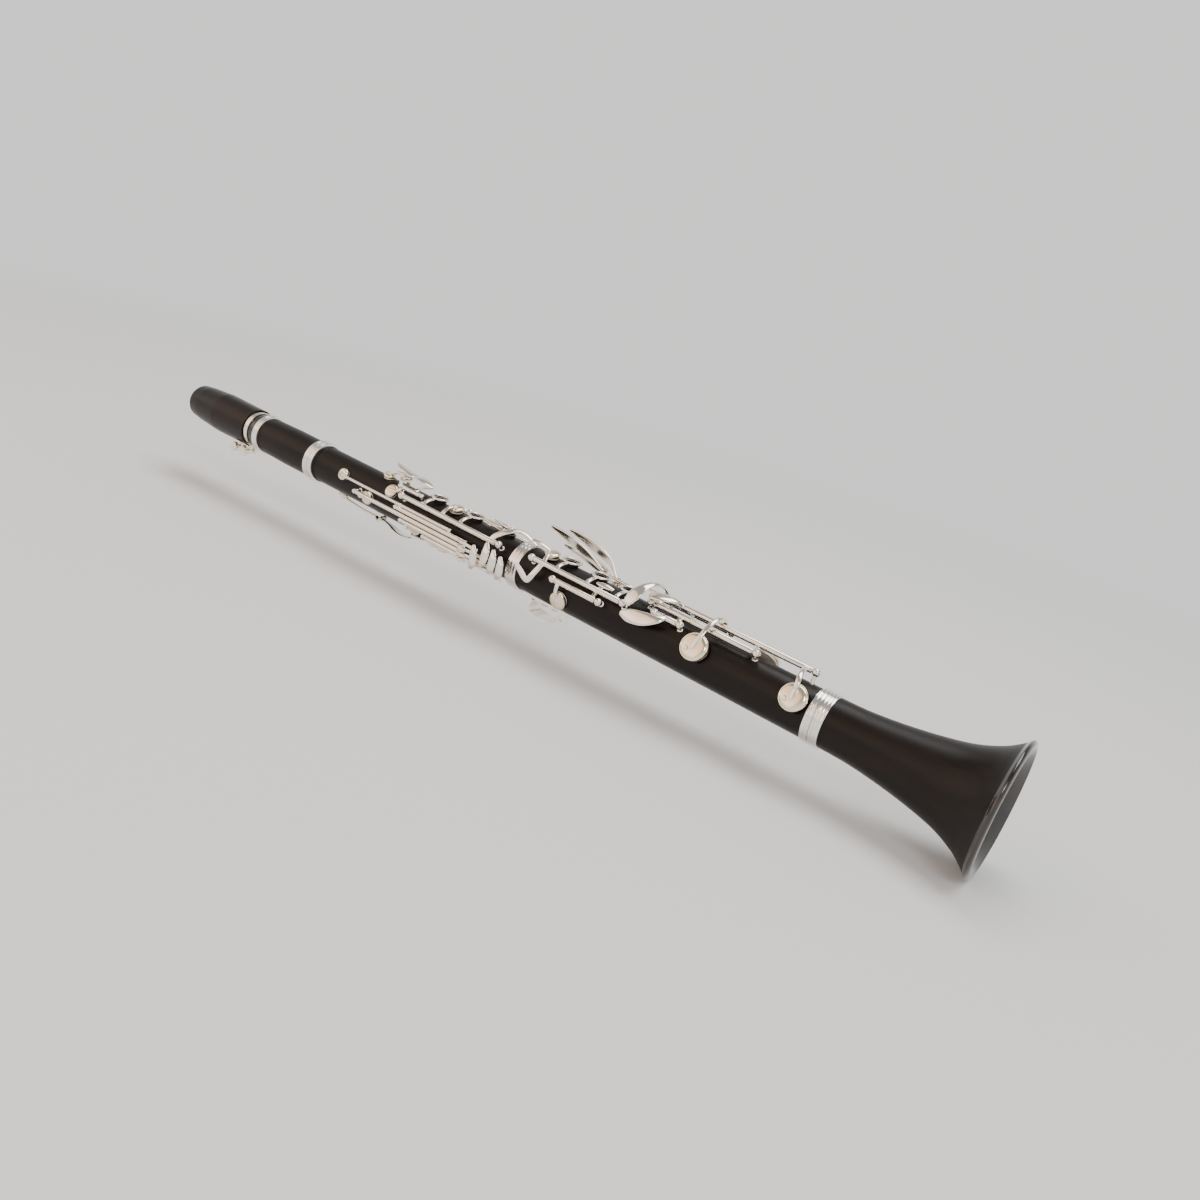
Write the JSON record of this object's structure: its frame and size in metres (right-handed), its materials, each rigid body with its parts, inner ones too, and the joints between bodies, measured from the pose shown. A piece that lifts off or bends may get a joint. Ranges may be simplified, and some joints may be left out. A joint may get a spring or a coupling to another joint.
{
  "type": "clarinet",
  "caption": "Straight single-reed woodwind with five jointed sections, silvered keywork on hinge rods, a flared bell and a capped mouthpiece.",
  "frame": {"origin": "bottom centre of the whole box: the instrument lies on its bell rim and ligature screws, front up", "axes": "+X from mouthpiece to bell (the bore line is pitched by 1.64 degrees so that both ends touch the floor), +Z out of the front, +Y to the player's left"},
  "size_m": [0.6732, 0.0798, 0.0797],
  "materials": {
    "grenadilla": "dark brown-black grenadilla, oiled satin",
    "ebonite": "polished black hard rubber",
    "cap_plastic": "satin dark brown-black moulded cap",
    "silver": "bright polished silver plate",
    "ring_silver": "turned silver-plated rings",
    "steel": "ground steel rod",
    "spring_steel": "blued steel needle",
    "cork": "greased natural cork",
    "cane": "cut cane",
    "pad_skin": "pale skin over felt"
  },
  "bodies": {
    "clarinet_body": {"upper_joint": "grenadilla", "upper_joint_ring": "ring_silver", "tenon_corks": "cork", "lower_joint": "grenadilla", "lower_joint_rings": "ring_silver", "bell": "grenadilla", "bell_ring": "ring_silver", "thumb_rest": "silver", "thumb_rest_screws": "steel", "vent_tubes": "silver", "upper_posts": "silver", "lower_posts": "silver", "hinge_rods": "steel", "needle_springs": "spring_steel"},
    "head": {"barrel": "grenadilla", "barrel_rings": "ring_silver", "mouthpiece": "ebonite", "mouthpiece_cork": "cork", "reed": "cane", "ligature": "ring_silver"},
    "cap": {"mouthpiece_cap": "cap_plastic"},
    "screw_1": {"ligature_screw_1": "ring_silver"},
    "screw_2": {"ligature_screw_2": "ring_silver"},
    "throat_g_sharp_key": {"throat_g_sharp_key": "silver", "throat_g_sharp_pad": "pad_skin"},
    "trill_key_1": {"trill_key_1": "silver", "trill_pad_1": "pad_skin"},
    "trill_key_2": {"trill_key_2": "silver", "trill_pad_2": "pad_skin"},
    "trill_key_3": {"trill_key_3": "silver", "trill_pad_3": "pad_skin"},
    "trill_key_4": {"trill_key_4": "silver", "trill_pad_4": "pad_skin"},
    "upper_ring_key": {"upper_ring_key": "silver", "upper_ring_pad": "pad_skin"},
    "upper_sliver_key": {"upper_sliver_key": "silver", "upper_sliver_pad": "pad_skin"},
    "c_sharp_key": {"c_sharp_key": "silver", "c_sharp_pad": "pad_skin"},
    "thumb_ring_key": {"thumb_ring_key": "silver", "thumb_ring_pad": "pad_skin"},
    "lower_ring_key": {"lower_ring_key": "silver", "lower_ring_pad": "pad_skin"},
    "lower_sliver_key": {"lower_sliver_key": "silver", "lower_sliver_pad": "pad_skin"},
    "low_e_key": {"low_e_key": "silver", "low_e_pad": "pad_skin"},
    "low_f_key": {"low_f_key": "silver", "low_f_pad": "pad_skin"},
    "low_f_sharp_key": {"low_f_sharp_key": "silver", "low_f_sharp_pad": "pad_skin"},
    "a_flat_key": {"a_flat_key": "silver", "a_flat_pad": "pad_skin"},
    "register_key": {"register_key": "silver", "register_pad": "pad_skin"},
    "throat_a_key": {"throat_a_key": "silver", "throat_a_pad": "pad_skin"},
    "left_f_sharp_lever": {"left_f_sharp_lever": "silver"},
    "left_e_lever": {"left_e_lever": "silver"},
    "left_f_lever": {"left_f_lever": "silver"}
  },
  "joints": [
    {"name": "tuning_slide", "type": "slide", "parent": "clarinet_body", "child": "head", "axis": [-0.9996, 0, 0.0287], "range_m": [0, 0.0025]},
    {"name": "cap_slide", "type": "slide", "parent": "head", "child": "cap", "axis": [-0.9996, 0, 0.0287], "range_m": [0, 0.085]},
    {"name": "ligature_screw_1_turn", "type": "hinge", "parent": "head", "child": "screw_1", "pos_m": [-0.27788, 0, 0.03848], "axis": [0, 1, 0], "continuous": true},
    {"name": "ligature_screw_2_turn", "type": "hinge", "parent": "head", "child": "screw_2", "pos_m": [-0.26689, 0, 0.03816], "axis": [0, 1, 0], "continuous": true},
    {"name": "throat_g_sharp_key_hinge", "type": "hinge", "parent": "clarinet_body", "child": "throat_g_sharp_key", "pos_m": [-0.08775, -0.01133, 0.06644], "axis": [-0.9996, 0, 0.0287], "range_deg": [0, 8], "stiffness_Nm_per_rad": 0.06, "springref_deg": -114.59},
    {"name": "trill_key_1_hinge", "type": "hinge", "parent": "clarinet_body", "child": "trill_key_1", "pos_m": [-0.05727, -0.01949, 0.05311], "axis": [0.9996, 0, -0.0287], "range_deg": [0, 6.5], "stiffness_Nm_per_rad": 0.06, "springref_deg": -114.59},
    {"name": "trill_key_2_hinge", "type": "hinge", "parent": "clarinet_body", "child": "trill_key_2", "pos_m": [-0.07757, -0.01954, 0.0501], "axis": [-0.9996, 0, 0.0287], "range_deg": [0, 7.9], "stiffness_Nm_per_rad": 0.06, "springref_deg": -114.59},
    {"name": "trill_key_3_hinge", "type": "hinge", "parent": "clarinet_body", "child": "trill_key_3", "pos_m": [-0.05418, -0.01893, 0.0459], "axis": [-0.9996, 0, 0.0287], "range_deg": [0, 9], "stiffness_Nm_per_rad": 0.06, "springref_deg": -114.59},
    {"name": "trill_key_4_hinge", "type": "hinge", "parent": "clarinet_body", "child": "trill_key_4", "pos_m": [-0.04328, -0.01769, 0.04222], "axis": [-0.9996, 0, 0.0287], "range_deg": [0, 9], "stiffness_Nm_per_rad": 0.06, "springref_deg": -114.59},
    {"name": "upper_ring_key_hinge", "type": "hinge", "parent": "clarinet_body", "child": "upper_ring_key", "pos_m": [-0.04594, -0.01602, 0.06095], "axis": [-0.9996, 0, 0.0287], "range_deg": [0, 3.8], "stiffness_Nm_per_rad": 0.06, "springref_deg": -114.59},
    {"name": "upper_sliver_key_hinge", "type": "hinge", "parent": "clarinet_body", "child": "upper_sliver_key", "pos_m": [-0.02059, 0.00836, 0.06573], "axis": [0.9996, 0, -0.0287], "range_deg": [0, 8.5], "stiffness_Nm_per_rad": 0.06, "springref_deg": -114.59},
    {"name": "c_sharp_key_hinge", "type": "hinge", "parent": "clarinet_body", "child": "c_sharp_key", "pos_m": [-0.03018, 0.01782, 0.05937], "axis": [-0.9996, 0, 0.0287], "range_deg": [0, 7.5], "stiffness_Nm_per_rad": 0.06, "springref_deg": -114.59},
    {"name": "thumb_ring_key_hinge", "type": "hinge", "parent": "clarinet_body", "child": "thumb_ring_key", "pos_m": [-0.06736, 0.01029, 0.03609], "axis": [-0.9996, 0, 0.0287], "range_deg": [0, 4.6], "stiffness_Nm_per_rad": 0.06, "springref_deg": -114.59},
    {"name": "lower_ring_key_hinge", "type": "hinge", "parent": "clarinet_body", "child": "lower_ring_key", "pos_m": [0.06198, -0.01554, 0.06023], "axis": [-0.9996, 0, 0.0287], "range_deg": [0, 4], "stiffness_Nm_per_rad": 0.06, "springref_deg": -114.59},
    {"name": "lower_sliver_key_hinge", "type": "hinge", "parent": "clarinet_body", "child": "lower_sliver_key", "pos_m": [0.06522, -0.01848, 0.05464], "axis": [-0.9996, 0, 0.0287], "range_deg": [0, 6], "stiffness_Nm_per_rad": 0.06, "springref_deg": -114.59},
    {"name": "low_e_key_hinge", "type": "hinge", "parent": "clarinet_body", "child": "low_e_key", "pos_m": [0.17011, 0.00153, 0.06649], "axis": [0.9996, 0, -0.0287], "range_deg": [0, 5.9], "stiffness_Nm_per_rad": 0.06, "springref_deg": -114.59},
    {"name": "low_f_key_hinge", "type": "hinge", "parent": "clarinet_body", "child": "low_f_key", "pos_m": [0.14802, -0.00606, 0.06382], "axis": [-0.9996, 0, 0.0287], "range_deg": [0, 6.3], "stiffness_Nm_per_rad": 0.06, "springref_deg": -114.59},
    {"name": "low_f_sharp_key_hinge", "type": "hinge", "parent": "clarinet_body", "child": "low_f_sharp_key", "pos_m": [0.13402, 0.00903, 0.0641], "axis": [0.9996, 0, -0.0287], "range_deg": [0, 4.8], "stiffness_Nm_per_rad": 0.06, "springref_deg": -114.59},
    {"name": "a_flat_key_hinge", "type": "hinge", "parent": "clarinet_body", "child": "a_flat_key", "pos_m": [0.12743, -0.01194, 0.06106], "axis": [0.9996, 0, -0.0287], "range_deg": [0, 3.6], "stiffness_Nm_per_rad": 0.06, "springref_deg": -114.59},
    {"name": "register_key_hinge", "type": "hinge", "parent": "clarinet_body", "child": "register_key", "pos_m": [-0.11891, 0, 0.03522], "axis": [0, -1, 0], "range_deg": [0, 3.5], "stiffness_Nm_per_rad": 0.06, "springref_deg": -114.59},
    {"name": "throat_a_key_hinge", "type": "hinge", "parent": "clarinet_body", "child": "throat_a_key", "pos_m": [-0.10388, -0.00032, 0.0708], "axis": [0.0005, 0.9998, 0.0174], "range_deg": [0, 6.2], "stiffness_Nm_per_rad": 0.06, "springref_deg": -114.59},
    {"name": "left_f_sharp_lever_hinge", "type": "hinge", "parent": "clarinet_body", "child": "left_f_sharp_lever", "pos_m": [0.06397, 0.01378, 0.06344], "axis": [0.0188, -0.7547, 0.6558], "range_deg": [0, 4.2]},
    {"name": "left_e_lever_hinge", "type": "hinge", "parent": "clarinet_body", "child": "left_e_lever", "pos_m": [0.0729, 0.01675, 0.06065], "axis": [0.0224, -0.6225, 0.7823], "range_deg": [0, 4.2]},
    {"name": "left_f_lever_hinge", "type": "hinge", "parent": "clarinet_body", "child": "left_f_lever", "pos_m": [0.07078, 0.01905, 0.05668], "axis": [0.0258, -0.4384, 0.8984], "range_deg": [0, 4.2]}
  ],
  "couplings": [
    {"joint": "left_f_sharp_lever_hinge", "follows": "low_f_sharp_key_hinge", "ratio": 0.875},
    {"joint": "left_e_lever_hinge", "follows": "low_e_key_hinge", "ratio": 0.711},
    {"joint": "left_f_lever_hinge", "follows": "low_f_key_hinge", "ratio": 0.666}
  ]
}
